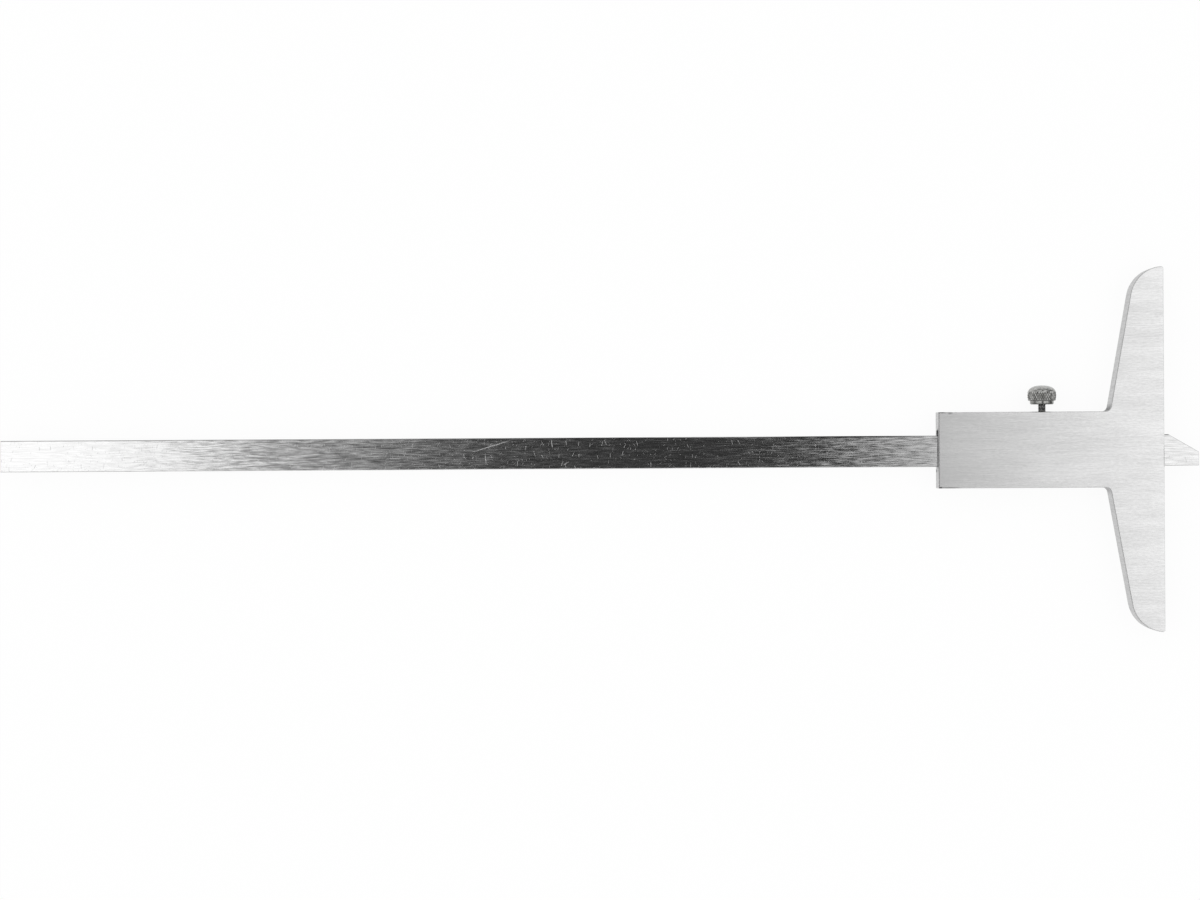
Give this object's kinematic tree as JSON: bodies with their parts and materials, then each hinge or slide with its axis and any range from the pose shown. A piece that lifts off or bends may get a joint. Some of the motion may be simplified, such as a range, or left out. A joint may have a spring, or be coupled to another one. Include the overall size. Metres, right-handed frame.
{
  "type": "vernier depth gauge",
  "caption": "Vernier depth gauge: a flat beam with a bevelled tip slides through a T-shaped head with a wide bridge, and a knurled lock screw on the head clamps it.",
  "frame": {"origin": "middle of the bridge's measuring face, at half the head's thickness", "axes": "+X along the beam towards its bevelled tip, +Y along the bridge towards the lock screw's side, +Z out of the head's plain back"},
  "size_m": [0.3938, 0.12, 0.0094],
  "materials": {
    "head_steel": "fine ground along the beam, satin",
    "vernier_steel": "satin, graduated",
    "beam_steel": "brushed along its length, brighter than the head",
    "screw_steel": "turned and slotted",
    "knob_steel": "diamond knurled, nickel grey",
    "blackened_steel": "black oxide, threaded",
    "gib_bronze": "plain rolled bronze",
    "pad_brass": "turned brass"
  },
  "bodies": {
    "head": {"head_body": "head_steel", "front_plate": "head_steel", "front_plate_screw_1": "screw_steel", "front_plate_screw_2": "screw_steel", "front_plate_screw_3": "screw_steel", "front_plate_screw_4": "screw_steel", "vernier_plate": "vernier_steel", "vernier_screw_1": "screw_steel", "vernier_screw_2": "screw_steel", "gib_strip": "gib_bronze", "gib_set_screw_1": "screw_steel", "gib_set_screw_2": "screw_steel"},
    "beam": {"beam": "beam_steel"},
    "lock_pad": {"lock_pad": "pad_brass"},
    "lock_screw": {"lock_knob": "knob_steel", "lock_stud": "blackened_steel"}
  },
  "joints": [
    {"name": "beam_slide", "type": "slide", "parent": "head", "child": "beam", "axis": [1, 0, 0], "range_m": [-0.0118, 0.2882]},
    {"name": "lock_travel", "type": "slide", "parent": "head", "child": "lock_pad", "axis": [0, -1, 0], "range_m": [-0.00135, 0.00015]},
    {"name": "lock_turn", "type": "hinge", "parent": "lock_pad", "child": "lock_screw", "pos_m": [-0.0395, 0, 0], "axis": [0, -1, 0], "range_deg": [-1080, 120]}
  ],
  "couplings": [
    {"joint": "lock_turn", "follows": "lock_travel", "rad_per_m": 13963}
  ]
}
